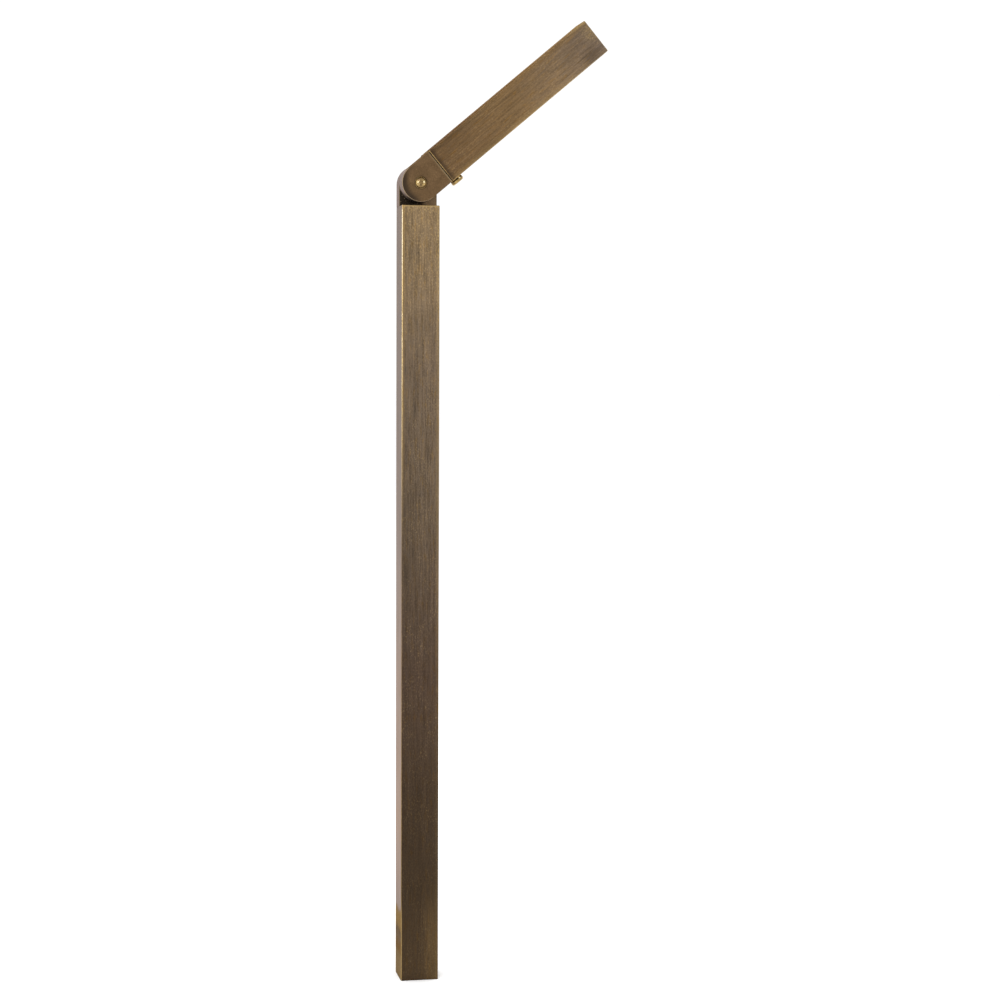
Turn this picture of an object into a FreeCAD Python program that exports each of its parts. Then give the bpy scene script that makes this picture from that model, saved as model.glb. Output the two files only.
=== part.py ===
import FreeCAD, Part
import math
import os
import Sketcher
from FreeCAD import Placement, Rotation, Vector as V

# Adjustable brass path light: a square post, a half-lap knuckle and a square linear head.
# Millimetres, +Z up the post, +X towards the side that the head leans to, -Y is the front
# (the side with the head of the pivot screw). Origin: centre of the post's foot, in the
# mouth of the stake thread.

doc = FreeCAD.newDocument("path_light")
sheet = doc.addObject("Spreadsheet::Sheet", "dims")

DIMS = [
    ("tube_w", 25.4, "square tube, outside"),
    ("wall", 1.6, "square tube, wall"),
    ("corner", 0.8, "square tube, outside corner radius"),
    ("edge_break", 0.3, "broken edge on tube ends"),
    ("stem_len", 520.7, "post, foot to top rim"),
    ("pivot_rise", 14.9, "pivot above the top rim"),
    ("tilt", 49.85, "head axis from vertical, degrees"),
    ("ear_r", 12.7, "round end of both ears"),
    ("ear_gap", 0.15, "each ear face from the middle plane"),
    ("ear_break", 0.6, "rounded outline of the ears"),
    ("plug_w", 22.0, "square plugs and spigot that fill the tubes"),
    ("plug_len", 20.0, "plug of the post's knuckle"),
    ("flange_a", 15.7, "flange, near face from the pivot"),
    ("flange_b", 16.9, "flange, far face from the pivot"),
    ("root_r", 3.0, "root radius between the front ear and its flange"),
    ("gasket_t", 0.55, "seam gasket"),
    ("gasket_w", 24.2, "seam gasket, outside"),
    ("head_start", 17.5, "head tube, near end from the pivot"),
    ("head_end", 155.3, "head tube, tip from the pivot"),
    ("spigot_end", 31.0, "spigot, end from the pivot"),
    ("chamber_r", 7.5, "wire chamber round the pivot"),
    ("chamber_d", 6.0, "wire chamber depth in each ear"),
    ("boss_r", 3.6, "pivot boss"),
    ("boss_face", 0.5, "boss face from the middle plane"),
    ("ring_r", 9.6, "O-ring, middle of its section"),
    ("ring_s", 0.7, "O-ring section radius"),
    ("ring_gw", 1.7, "O-ring groove width"),
    ("ring_gd", 1.2, "O-ring groove depth"),
    ("lead_y", 4.2, "lead bores from the middle plane"),
    ("lead_bore", 2.0, "lead bore radius"),
    ("lead_r", 0.9, "insulated lead radius"),
    ("lead_x", 0.95, "half spacing of the two leads"),
    ("loop_r", 5.55, "service loop radius"),
    ("loop_y", 2.25, "service loop from the middle plane"),
    ("pin_r", 2.0, "pivot screw shank"),
    ("pin_fit", 0.05, "running clearance on the shank"),
    ("cb_r", 4.2, "counterbore radius"),
    ("cb_d", 2.0, "counterbore depth"),
    ("pin_head_r", 3.6, "pivot screw head radius"),
    ("pin_head_h", 2.1, "pivot screw head height"),
    ("pin_tip", 9.0, "pivot screw tip behind the middle plane"),
    ("socket_r", 1.445, "hex socket, circumradius"),
    ("socket_d", 1.3, "hex socket depth"),
    ("spring_t", 0.6, "split washer thickness"),
    ("spring_r", 3.9, "split washer radius"),
    ("clamp_z", 22.2, "retaining screw from the pivot"),
    ("clamp_r", 2.4, "retaining screw shank"),
    ("clamp_head_r", 4.5, "retaining screw head radius"),
    ("clamp_head_h", 3.0, "retaining screw head height"),
    ("clamp_wash_r", 4.55, "retaining washer radius"),
    ("clamp_wash_t", 0.5, "retaining washer thickness"),
    ("clamp_tip", 5.0, "retaining screw tip from the head axis"),
    ("notch_r", 2.65, "notch in the head tube for that screw"),
    ("thread_r", 9.525, "stake thread, bore in the foot"),
    ("thread_d", 16.0, "stake thread, depth"),
    ("base_h", 26.0, "plug in the foot"),
    ("base_hole", 4.2, "lead hole above the thread"),
    ("fix_x", 6.5, "rear screws from the middle"),
    ("fix_top", 8.0, "upper rear screws below the rim"),
    ("fix_foot", 21.0, "lower rear screws above the foot"),
    ("fix_head", 2.8, "rear screw head radius"),
    ("fix_r", 1.5, "rear screw shank radius"),
    ("fix_tip", 5.6, "rear screw tip from the middle"),
    ("win_a", 50.0, "light window, first end radius centre from the pivot"),
    ("win_b", 140.5, "light window, last end radius centre"),
    ("win_r", 6.0, "light window, half width"),
    ("lens_gap", 0.15, "lens clearance in the window"),
    ("lens_a", 41.0, "lens flange, near end"),
    ("lens_b", 149.5, "lens flange, far end"),
    ("lens_w", 17.0, "lens flange, width"),
    ("lens_t", 1.5, "lens flange, thickness"),
    ("lens_sink", 0.3, "lens face below the tube face"),
    ("seal_t", 0.8, "lens gasket thickness"),
    ("cap_t", 4.0, "end plate thickness"),
    ("cap_sink", 0.25, "end plate below the tip"),
    ("plate_t", 3.0, "carrier end plate"),
    ("plate_w", 20.8, "carrier end plate, square"),
    ("web_hi", -1.5, "carrier web, upper face"),
    ("web_lo", 0.5, "carrier web, board face"),
    ("leg_in", 8.0, "carrier legs, inside"),
    ("leg_out", 9.5, "carrier legs, outside"),
    ("leg_lo", 7.5, "carrier legs, lower edge"),
    ("carrier_end", 147.5, "carrier, far end"),
    ("board_w", 11.0, "board width"),
    ("board_t", 1.6, "board thickness"),
    ("board_a", 40.0, "board, near end"),
    ("board_b", 144.5, "board, far end"),
    ("chip_w", 3.0, "LED package, square"),
    ("chip_t", 0.8, "LED package, height"),
    ("chip_a", 46.0, "first LED"),
    ("chip_step", 13.0, "LED spacing"),
    ("bs_r", 1.2, "board screw shank"),
    ("bs_head", 2.1, "board screw head radius"),
    ("bs_h", 1.2, "board screw head height"),
    ("drv_a", 46.0, "driver, near end"),
    ("drv_b", 94.0, "driver, far end"),
    ("drv_w", 15.0, "driver width"),
    ("drv_t", 8.0, "driver height"),
    ("drv_pad", 0.5, "thermal pad"),
    ("cs_x", -7.0, "carrier screws, offset to the upper side"),
    ("cs_y", 6.5, "carrier screws, half spacing"),
    ("cs_r", 1.5, "carrier screw shank"),
    ("cs_head", 2.75, "carrier screw head radius"),
    ("cs_h", 2.0, "carrier screw head height"),
]


class Q:
    """A size that carries both its number and the cell expression it comes from."""

    def __init__(self, n, t):
        self.n, self.t = n, t

    def __add__(self, o):
        o = q(o)
        return Q(self.n + o.n, "(%s + %s)" % (self.t, o.t))

    def __radd__(self, o):
        return q(o) + self

    def __sub__(self, o):
        o = q(o)
        return Q(self.n - o.n, "(%s - %s)" % (self.t, o.t))

    def __rsub__(self, o):
        return q(o) - self

    def __mul__(self, o):
        o = q(o)
        return Q(self.n * o.n, "(%s * %s)" % (self.t, o.t))

    def __rmul__(self, o):
        return q(o) * self

    def __truediv__(self, o):
        o = q(o)
        return Q(self.n / o.n, "(%s / %s)" % (self.t, o.t))

    def __neg__(self):
        return q(-1.0) * self


def q(v):
    return v if isinstance(v, Q) else Q(float(v), "%.6f" % float(v))


for i, (alias, value, note) in enumerate(DIMS, 1):
    sheet.set("A%d" % i, note)
    sheet.set("B%d" % i, str(value))
    sheet.setAlias("B%d" % i, alias)
doc.recompute()


class Cells:
    pass


d = Cells()
for alias, value, note in DIMS:
    setattr(d, alias, Q(float(sheet.get(alias)), "dims." + alias))

half = d.tube_w / 2
inner = half - d.wall
plug = d.plug_w / 2
pivot_z = d.stem_len + d.pivot_rise

AXIS = {
    "z": Rotation(),
    "-z": Rotation(V(1, 0, 0), 180),
    "y": Rotation(V(1, 0, 0), -90),
    "-y": Rotation(V(1, 0, 0), 90),
    "x": Rotation(V(0, 1, 0), 90),
    "-x": Rotation(V(0, 1, 0), -90),
}
NODES = []


def put(o, prop, v):
    v = q(v)
    setattr(o, prop, v.n)
    if "dims" in v.t:
        o.setExpression(prop, v.t)


def place(o, x, y, z, rot=None):
    xyz = [q(x), q(y), q(z)]
    o.Placement = Placement(V(*[c.n for c in xyz]), rot or Rotation())
    for k, c in zip("xyz", xyz):
        if "dims" in c.t:
            o.setExpression("Placement.Base." + k, c.t)
    return o


def box(x0, x1, y0, y1, z0, z1):
    o = doc.addObject("Part::Box", "block")
    put(o, "Length", q(x1) - x0)
    put(o, "Width", q(y1) - y0)
    put(o, "Height", q(z1) - z0)
    return place(o, x0, y0, z0)


def at(axis, a, b, c):
    """Point at a along the axis, with the other two coordinates in X, Y, Z order."""
    return {"x": (a, b, c), "y": (b, a, c), "z": (b, c, a)}[axis[-1]]


def rod(r, axis, a0, a1, b=0.0, c=0.0):
    o = doc.addObject("Part::Cylinder", "rod")
    put(o, "Radius", r)
    put(o, "Height", (q(a1) - a0) if axis[0] != "-" else (q(a0) - a1))
    return place(o, *at(axis, a0, b, c), rot=AXIS[axis])


def cone(r0, r1, axis, a0, a1, b=0.0, c=0.0):
    o = doc.addObject("Part::Cone", "cone")
    put(o, "Radius1", r0)
    put(o, "Radius2", r1)
    put(o, "Height", (q(a1) - a0) if axis[0] != "-" else (q(a0) - a1))
    return place(o, *at(axis, a0, b, c), rot=AXIS[axis])


def ring(r_big, r_small, axis, a, b=0.0, c=0.0):
    o = doc.addObject("Part::Torus", "ring")
    put(o, "Radius1", r_big)
    put(o, "Radius2", r_small)
    return place(o, *at(axis, a, b, c), rot=AXIS[axis])


def ball(r, axis, a, b=0.0, c=0.0):
    o = doc.addObject("Part::Sphere", "ball")
    put(o, "Radius", r)
    return place(o, *at(axis, a, b, c))


def hexagon(r, axis, a0, a1, b=0.0, c=0.0):
    o = doc.addObject("Part::Prism", "hexagon")
    o.Polygon = 6
    put(o, "Circumradius", r)
    put(o, "Height", (q(a1) - a0) if axis[0] != "-" else (q(a0) - a1))
    return place(o, *at(axis, a0, b, c), rot=AXIS[axis])


def fuse(*parts):
    o = doc.addObject("Part::MultiFuse", "joined")
    o.Shapes = list(parts)
    o.Refine = True
    return o


def cut(base, *tools):
    for t in tools:
        o = doc.addObject("Part::Cut", "cut")
        o.Base, o.Tool = base, t
        o.Refine = True
        base = o
    return base


def common(a, b):
    o = doc.addObject("Part::Common", "shared")
    o.Base, o.Tool = a, b
    return o


def group(*parts):
    o = doc.addObject("Part::Compound", "group")
    o.Links = list(parts)
    return o


def fillet(base, radius, pick):
    """Round the edges that pick() accepts."""
    doc.recompute()
    o = doc.addObject("Part::Fillet", "rounded")
    o.Base = base
    edges = [i for i, e in enumerate(base.Shape.Edges, 1) if pick(e)]
    if not edges:
        raise RuntimeError("no edge to round")
    o.Edges = [(i, radius.n, radius.n) for i in edges]
    doc.recompute()
    return o


def node(label, o, head=False):
    """Names a finished piece; a head piece is drawn along +Z from the pivot and tilted here."""
    o.Label = label
    if head:
        o.Placement = Placement(V(0, 0, pivot_z.n), Rotation(V(0, 1, 0), d.tilt.n))
        o.setExpression("Placement.Base.z", pivot_z.t)
        o.setExpression("Placement.Rotation.Angle", d.tilt.t)
    NODES.append(o)
    return o


# sketches ------------------------------------------------------------------------------
def sketch(body, role, off=None):
    s = body.newObject("Sketcher::SketchObject", "sketch")
    plane = [f for f in body.Origin.OriginFeatures if f.Role == role][0]
    s.AttachmentSupport = [(plane, "")]
    s.MapMode = "FlatFace"
    if off is not None:
        off = q(off)
        s.AttachmentOffset = Placement(V(0, 0, off.n), Rotation())
        if "dims" in off.t:
            s.setExpression("AttachmentOffset.Base.z", off.t)
    return s


def con(s, value, *args):
    i = s.addConstraint(Sketcher.Constraint(*args, q(value).n))
    if "dims" in q(value).t:
        s.setExpression("Constraints[%d]" % i, q(value).t)


def rect(s, x0, y0, x1, y1):
    x0, y0, x1, y1 = q(x0), q(y0), q(x1), q(y1)
    p = [V(x0.n, y0.n, 0), V(x1.n, y0.n, 0), V(x1.n, y1.n, 0), V(x0.n, y1.n, 0)]
    g = [s.addGeometry(Part.LineSegment(p[i], p[(i + 1) % 4]), False) for i in range(4)]
    for i in range(4):
        s.addConstraint(Sketcher.Constraint("Coincident", g[i], 2, g[(i + 1) % 4], 1))
        s.addConstraint(Sketcher.Constraint("Horizontal" if i % 2 == 0 else "Vertical", g[i]))
    con(s, x0, "DistanceX", -1, 1, g[0], 1)
    con(s, y0, "DistanceY", -1, 1, g[0], 1)
    con(s, x1, "DistanceX", -1, 1, g[2], 1)
    con(s, y1, "DistanceY", -1, 1, g[2], 1)


def disc(s, r, y=None):
    r = q(r)
    yy = q(y if y is not None else 0.0)
    g = s.addGeometry(Part.Circle(V(0, yy.n, 0), V(0, 0, 1), r.n), False)
    if y is None:
        s.addConstraint(Sketcher.Constraint("Coincident", g, 3, -1, 1))
    else:
        s.addConstraint(Sketcher.Constraint("PointOnObject", g, 3, -2))
        con(s, yy, "DistanceY", -1, 1, g, 3)
    con(s, r, "Radius", g)


def slot(s, y0, y1, r):
    y0, y1, r = q(y0), q(y1), q(r)
    up = s.addGeometry(Part.ArcOfCircle(Part.Circle(V(0, y1.n, 0), V(0, 0, 1), r.n), 0, math.pi), False)
    lo = s.addGeometry(Part.ArcOfCircle(Part.Circle(V(0, y0.n, 0), V(0, 0, 1), r.n), math.pi, 2 * math.pi), False)
    le = s.addGeometry(Part.LineSegment(V(-r.n, y1.n, 0), V(-r.n, y0.n, 0)), False)
    ri = s.addGeometry(Part.LineSegment(V(r.n, y0.n, 0), V(r.n, y1.n, 0)), False)
    for a, pa, b, pb in ((up, 2, le, 1), (le, 2, lo, 1), (lo, 2, ri, 1), (ri, 2, up, 1)):
        s.addConstraint(Sketcher.Constraint("Tangent", a, pa, b, pb))
    for g, y in ((up, y1), (lo, y0)):
        s.addConstraint(Sketcher.Constraint("PointOnObject", g, 3, -2))
        con(s, y, "DistanceY", -1, 1, g, 3)
    con(s, r, "Radius", up)


def grow(body, s, length):
    p = body.newObject("PartDesign::Pad", "pad")
    p.Profile = s
    put(p, "Length", length)
    doc.recompute()
    return p


def sink(body, s, length, along_normal):
    """Cuts from the sketch plane; the volume has to fall."""
    before = body.Shape.Volume
    p = body.newObject("PartDesign::Pocket", "pocket")
    p.Profile = s
    put(p, "Length", length)
    p.Reversed = along_normal
    doc.recompute()
    if body.Shape.Volume > before - 0.01:
        raise RuntimeError("a pocket cut nothing in " + body.Label)
    return p


def soften(body, kind, size, pick):
    doc.recompute()
    tip = body.Tip
    names = ["Edge%d" % i for i, e in enumerate(tip.Shape.Edges, 1) if pick(e)]
    if not names:
        raise RuntimeError("no edge to soften in " + body.Label)
    f = body.newObject("PartDesign::" + kind, kind.lower())
    f.Base = (tip, names)
    put(f, "Radius" if kind == "Fillet" else "Size", size)
    doc.recompute()
    return f


def new_body(name):
    return doc.addObject("PartDesign::Body", name)


def is_corner(e, length):
    """One of the long outside edges of a square tube."""
    b = e.BoundBox
    return (
        abs(b.ZLength - length) < 0.01
        and b.XLength < 0.01
        and b.YLength < 0.01
        and abs(abs(b.Center.x) - half.n) < 0.01
        and abs(abs(b.Center.y) - half.n) < 0.01
    )


def on_rim(e, z):
    """Part of a tube's outside outline at height z."""
    b = e.BoundBox
    return (
        b.ZLength < 0.01
        and abs(b.Center.z - z) < 0.01
        and max(abs(b.XMax), abs(b.XMin), abs(b.YMax), abs(b.YMin)) > half.n - 0.01
        and min(e.distToShape(Part.Vertex(0, 0, z))[0], 99) > inner.n + 0.3
    )


# post ----------------------------------------------------------------------------------
b = new_body("stem_section")
s = sketch(b, "XY_Plane")
rect(s, -half, -half, half, half)
grow(b, s, d.stem_len)
s = sketch(b, "XY_Plane")
rect(s, -inner, -inner, inner, inner)
sink(b, s, d.stem_len + 1, True)
soften(b, "Fillet", d.corner, lambda e: is_corner(e, d.stem_len.n))
soften(b, "Chamfer", d.edge_break, lambda e: on_rim(e, d.stem_len.n))

fix_cone = inner + 0.3
seats = []
for x in (-d.fix_x, d.fix_x):
    for z in (d.stem_len - d.fix_top, d.fix_foot):
        seats.append(cone(d.fix_r + 0.05, d.fix_head + 0.05, "y", fix_cone, half, x, z))
        seats.append(rod(d.fix_r + 0.05, "y", inner - 0.5, half, x, z))
node("stem_tube", cut(b, *seats))

# rear screws: slotted flat heads
screws = []
for x in (-d.fix_x, d.fix_x):
    for z in (d.stem_len - d.fix_top, d.fix_foot):
        s1 = fuse(
            cone(d.fix_r, d.fix_head, "y", fix_cone, half - 0.05, x, z),
            rod(d.fix_r, "y", d.fix_tip, fix_cone + 0.2, x, z),
        )
        screws.append(
            cut(s1, box(x - 3.2, x + 3.2, half - 0.7, half + 0.5, z - 0.4, z + 0.4))
        )
node("stem_screws", group(*screws))

# plug in the foot: stake thread below, lead hole above
b = new_body("foot_plug")
s = sketch(b, "XY_Plane")
rect(s, -plug, -plug, plug, plug)
grow(b, s, d.base_h)
s = sketch(b, "XY_Plane")
disc(s, d.thread_r)
sink(b, s, d.thread_d, True)
s = sketch(b, "XY_Plane")
disc(s, d.base_hole)
sink(b, s, d.base_h + 1, True)
holes = []
for x in (-d.fix_x, d.fix_x):
    holes.append(rod(d.fix_r + 0.03, "y", d.fix_tip - 0.3, plug + 1, x, d.fix_foot))
node("base_plug", cut(b, *holes))

# rubber grommet: sleeve in the lead hole with a flange on top
node(
    "base_grommet",
    cut(
        fuse(
            rod(d.base_hole - 0.03, "z", d.thread_d, d.base_h + 0.5),
            rod(d.base_hole + 1.8, "z", d.base_h, d.base_h + 1.5),
        ),
        rod(d.lead_bore + 0.05, "z", d.thread_d - 1, d.base_h + 3),
    ),
)

# knuckle of the post: ear on the rear half, plug in the tube
ear = fuse(
    rod(d.ear_r, "y", d.ear_gap, half, 0.0, pivot_z),
    box(-half, half, d.ear_gap, half, d.stem_len, pivot_z),
)
ear = fillet(
    ear,
    d.ear_break,
    lambda e: abs(e.BoundBox.YMin - half.n) < 0.01 and e.BoundBox.ZMax > d.stem_len.n + 0.5,
)
knuckle = fuse(ear, box(-plug, plug, -plug, plug, d.stem_len - d.plug_len, d.stem_len))


def chamber(y0, y1, z):
    """Ring-shaped wire chamber round the pivot boss."""
    return cut(
        rod(d.chamber_r, "y", y0, y1, 0.0, z), rod(d.boss_r, "y", y0 - 1, y1 + 1, 0.0, z)
    )


cuts = [
    chamber(d.ear_gap - 1, d.ear_gap + d.chamber_d, pivot_z),
    rod(d.boss_r + 0.2, "y", d.ear_gap - 1, d.boss_face, 0.0, pivot_z),
    rod(d.pin_r + 0.03, "y", -1.0, d.pin_tip + 0.5, 0.0, pivot_z),
    rod(d.lead_bore, "z", d.stem_len - d.plug_len - 1, pivot_z - d.boss_r - 1, 0.0, d.lead_y),
]
for x in (-d.fix_x, d.fix_x):
    cuts.append(rod(d.fix_r + 0.03, "y", d.fix_tip - 0.3, plug + 1, x, d.stem_len - d.fix_top))
node("stem_knuckle", cut(knuckle, *cuts))

# pivot screw: button head with a hex socket, in the counterbore of the front ear
seat = -half + d.cb_d
head_lo = seat - 0.05 - d.spring_t
dome = 5.2
head_tip = head_lo - d.pin_head_h
button = common(
    rod(d.pin_head_r, "-y", head_lo, head_tip, 0.0, pivot_z),
    ball(dome, "y", head_tip + dome, 0.0, pivot_z),
)
node(
    "pivot_screw",
    cut(
        fuse(button, rod(d.pin_r, "y", head_lo - 0.5, d.pin_tip, 0.0, pivot_z)),
        hexagon(d.socket_r, "y", head_tip - 0.5, head_tip + d.socket_d, 0.0, pivot_z),
    ),
)
node(
    "spring_washer",
    cut(
        rod(d.spring_r, "-y", seat - 0.05, head_lo, 0.0, pivot_z),
        rod(d.pin_r + 0.1, "-y", seat + 1, head_lo - 1, 0.0, pivot_z),
        box(-0.4, 0.4, head_lo - 1, seat + 1, pivot_z, pivot_z + 5),
    ),
)
node(
    "friction_washer",
    cut(
        rod(d.boss_r - 0.1, "y", -d.boss_face + 0.05, d.boss_face, 0.0, pivot_z),
        rod(d.pin_r + 0.1, "y", -3.0, 3.0, 0.0, pivot_z),
    ),
)


# leads ---------------------------------------------------------------------------------
def number(alias):
    return float(sheet.get(alias))


def lead(points, r):
    """Round lead along straight runs joined by tangent arcs: (point, bend radius) each."""
    edges = []
    start = V(*points[0][0])
    length = 0.0
    for i in range(1, len(points) - 1):
        p0, p1, p2 = (V(*points[i + k][0]) for k in (-1, 0, 1))
        u, w = (p0 - p1).normalize(), (p2 - p1).normalize()
        ang = math.pi - u.getAngle(w)
        back = points[i][1] * math.tan(ang / 2)
        a, c = p1 + u * back, p1 + w * back
        m = (u + w).normalize()
        mid = p1 + m * (points[i][1] / math.cos(ang / 2) - points[i][1])
        edges += [Part.LineSegment(start, a).toShape(), Part.Arc(a, mid, c).toShape()]
        length += (a - start).Length + points[i][1] * ang
        start = c
    end = V(*points[-1][0])
    edges.append(Part.LineSegment(start, end).toShape())
    length += (end - start).Length
    path = Part.Wire(edges)
    first = (V(*points[1][0]) - V(*points[0][0])).normalize()
    hoop = Part.Wire([Part.Circle(V(*points[0][0]), first, r).toShape()])
    solid = path.makePipeShell([hoop], True, False)
    if abs(solid.Volume - math.pi * r * r * length) > 0.01 * solid.Volume:
        raise RuntimeError("a lead has the wrong volume")
    return solid


def lead_node(label, solids, head=False):
    o = doc.addObject("Part::Feature", "lead")
    o.Shape = Part.makeCompound(solids)
    return node(label, o, head)


pz = number("stem_len") + number("pivot_rise")
lx, ly, lr = number("lead_x"), number("lead_y"), number("lead_r")
lead_node(
    "stem_lead",
    [
        lead(
            [
                ((x, 0, number("thread_d") + 0.5), 0),
                ((x, 0, 440.0), 80.0),
                ((x, ly, 475.0), 80.0),
                ((x, ly, pz - number("loop_r")), 0),
            ],
            lr,
        )
        for x in (-lx, lx)
    ],
)

# head ----------------------------------------------------------------------------------
# Head pieces are drawn upright, with the pivot at the origin, the head axis along +Z and
# the lit underside towards +X.
ear = fuse(
    rod(d.ear_r, "y", -half, -d.ear_gap),
    box(-half, half, -half, -d.ear_gap, 0.0, d.flange_a + 0.5),
    box(-half, half, -half, half, d.flange_a, d.flange_b),
)


def knuckle_edge(e):
    bb = e.BoundBox
    front = bb.YMax < -half.n + 0.01
    rear = bb.YMin > half.n - 0.01 and bb.XLength < 0.01
    return front and not (bb.ZMin > d.flange_b.n - 0.01) or rear


def root_edge(e):
    bb = e.BoundBox
    on_face = abs(bb.YMin + d.ear_gap.n) < 0.01 and abs(bb.YMax + d.ear_gap.n) < 0.01
    return on_face and abs(bb.ZMin - d.flange_a.n) < 0.01 and bb.ZLength < 0.01


ear = fillet(ear, d.root_r, root_edge)
ear = fillet(ear, d.ear_break, knuckle_edge)
ear = fillet(ear, d.edge_break, lambda e: e.BoundBox.ZMin > d.flange_b.n - 0.01)
knuckle = fuse(ear, box(-plug, plug, -plug, plug, d.flange_b - 0.5, d.spigot_end))
groove = cut(
    rod(d.ring_r + d.ring_gw / 2, "y", -d.ear_gap - d.ring_gd, 1.0),
    rod(d.ring_r - d.ring_gw / 2, "y", -5.0, 2.0),
)
cuts = [
    chamber(-d.ear_gap - d.chamber_d, -d.ear_gap + 0.1, 0.0),
    rod(d.boss_r + 0.2, "y", -d.boss_face, 0.0),
    rod(d.pin_r + d.pin_fit, "y", -half - 1, 1.0),
    rod(d.cb_r, "y", -half - 1, seat),
    groove,
    rod(d.lead_bore, "z", d.boss_r + 1, d.spigot_end + 1, 0.0, -d.lead_y),
    rod(d.clamp_r + 0.03, "x", d.clamp_tip - 0.5, plug + 1, 0.0, d.clamp_z),
]
for y in (-d.cs_y, d.cs_y):
    cuts.append(rod(d.cs_r + 0.03, "z", d.spigot_end - 6, d.spigot_end + 1, d.cs_x, y))
node("head_knuckle", cut(knuckle, *cuts), True)

node("knuckle_oring", group(ring(d.ring_r, d.ring_s, "y", -d.ear_gap - d.ring_gd + d.ring_s + 0.02)), True)
node(
    "hinge_lead_loop",
    group(
        ring(d.loop_r, d.lead_r, "y", -d.loop_y),
        ring(d.loop_r, d.lead_r, "y", d.loop_y),
    ),
    True,
)

# gasket in the seam, a little inside the faces so that it reads as a dark line
b = new_body("seam_ring")
s = sketch(b, "XY_Plane", d.flange_b)
rect(s, -d.gasket_w / 2, -d.gasket_w / 2, d.gasket_w / 2, d.gasket_w / 2)
rect(s, -plug - 0.05, -plug - 0.05, plug + 0.05, plug + 0.05)
grow(b, s, d.gasket_t)
node("seam_gasket", b, True)

# retaining screw and washer under the head
wash_lo = half + 0.05
wash_hi = wash_lo + d.clamp_wash_t
node(
    "retaining_washer",
    cut(
        rod(d.clamp_wash_r, "x", wash_lo, wash_hi, 0.0, d.clamp_z),
        rod(d.clamp_r + 0.1, "x", wash_lo - 1, wash_hi + 1, 0.0, d.clamp_z),
    ),
    True,
)
head_top = wash_hi + d.clamp_head_h
pan = fillet(
    rod(d.clamp_head_r, "x", wash_hi, head_top, 0.0, d.clamp_z),
    Q(0.95, "0.95"),
    lambda e: e.BoundBox.XLength < 0.01,
)
node(
    "retaining_screw",
    cut(
        fuse(pan, rod(d.clamp_r, "x", d.clamp_tip, wash_hi + 0.5, 0.0, d.clamp_z)),
        hexagon(Q(1.73, "1.73"), "x", head_top - 1.3, head_top + 1, 0.0, d.clamp_z),
    ),
    True,
)

# head tube: window in the underside, notch for the retaining screw at the near end
b = new_body("head_section")
s = sketch(b, "XY_Plane", d.head_start)
rect(s, -half, -half, half, half)
grow(b, s, d.head_end - d.head_start)
s = sketch(b, "XY_Plane", d.head_start)
rect(s, -inner, -inner, inner, inner)
sink(b, s, d.head_end - d.head_start + 1, True)
soften(b, "Fillet", d.corner, lambda e: is_corner(e, d.head_end.n - d.head_start.n))
soften(
    b,
    "Chamfer",
    d.edge_break,
    lambda e: on_rim(e, d.head_start.n) or on_rim(e, d.head_end.n),
)
s = sketch(b, "YZ_Plane")
slot(s, d.win_a, d.win_b, d.win_r)
sink(b, s, half + 1, True)
s = sketch(b, "YZ_Plane")
slot(s, d.head_start - 2, d.clamp_z, d.notch_r)
sink(b, s, half + 1, True)
node("head_tube", b, True)

# end plate, soldered in just below the tip
b = new_body("tip_plate")
s = sketch(b, "XY_Plane", d.head_end - d.cap_sink - d.cap_t)
rect(s, -inner + 0.03, -inner + 0.03, inner - 0.03, inner - 0.03)
grow(b, s, d.cap_t)
node("head_end_cap", b, True)

# lens: flange inside the tube, raised strip in the window
lens_lo = inner - d.seal_t
b = new_body("lens_strip")
s = sketch(b, "YZ_Plane", lens_lo - d.lens_t)
rect(s, -d.lens_w / 2, d.lens_a, d.lens_w / 2, d.lens_b)
grow(b, s, d.lens_t)
s = sketch(b, "YZ_Plane", lens_lo - 0.2)
slot(s, d.win_a, d.win_b, d.win_r - d.lens_gap)
grow(b, s, half - d.lens_sink - lens_lo + 0.2)
node("lens", b, True)

b = new_body("lens_seal")
s = sketch(b, "YZ_Plane", lens_lo)
rect(s, -d.lens_w / 2, d.lens_a, d.lens_w / 2, d.lens_b)
slot(s, d.win_a, d.win_b, d.win_r + 0.1)
grow(b, s, d.seal_t)
node("lens_gasket", b, True)

# carrier: end plate on the spigot, channel that spreads the heat
plate_z = d.spigot_end + d.plate_t
pw = d.plate_w / 2
carrier = fuse(
    box(-pw, pw, -pw, pw, d.spigot_end, plate_z),
    box(d.web_hi, d.web_lo, -d.leg_out, d.leg_out, plate_z - 0.5, d.carrier_end),
    box(d.web_hi, d.leg_lo, -d.leg_out, -d.leg_in, plate_z - 0.5, d.carrier_end),
    box(d.web_hi, d.leg_lo, d.leg_in, d.leg_out, plate_z - 0.5, d.carrier_end),
)
bush_r = d.lead_bore + 0.9
link_z = d.chip_a + d.chip_step * 4.5
cuts = [
    box(d.web_hi - 1, d.web_lo + 1, -d.lead_y - 3.6, -d.lead_y + 3.6, plate_z, d.drv_a - 0.5),
    rod(bush_r, "z", d.spigot_end - 1, plate_z + 0.001, 0.0, -d.lead_y),
    rod(Q(1.7, "1.7"), "x", d.web_hi - 1, d.web_lo + 1, 0.0, link_z),
]
for y in (-d.cs_y, d.cs_y):
    cuts.append(rod(d.cs_r + 0.1, "z", d.spigot_end - 1, plate_z + 1, d.cs_x, y))
screw_z = [d.chip_a + d.chip_step * k for k in (0.5, 3.5, 6.5)]
for z in screw_z:
    cuts.append(rod(d.bs_r + 0.03, "x", d.web_hi - 1, d.web_lo + 1, 0.0, z))
node("led_carrier", cut(carrier, *cuts), True)

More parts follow.
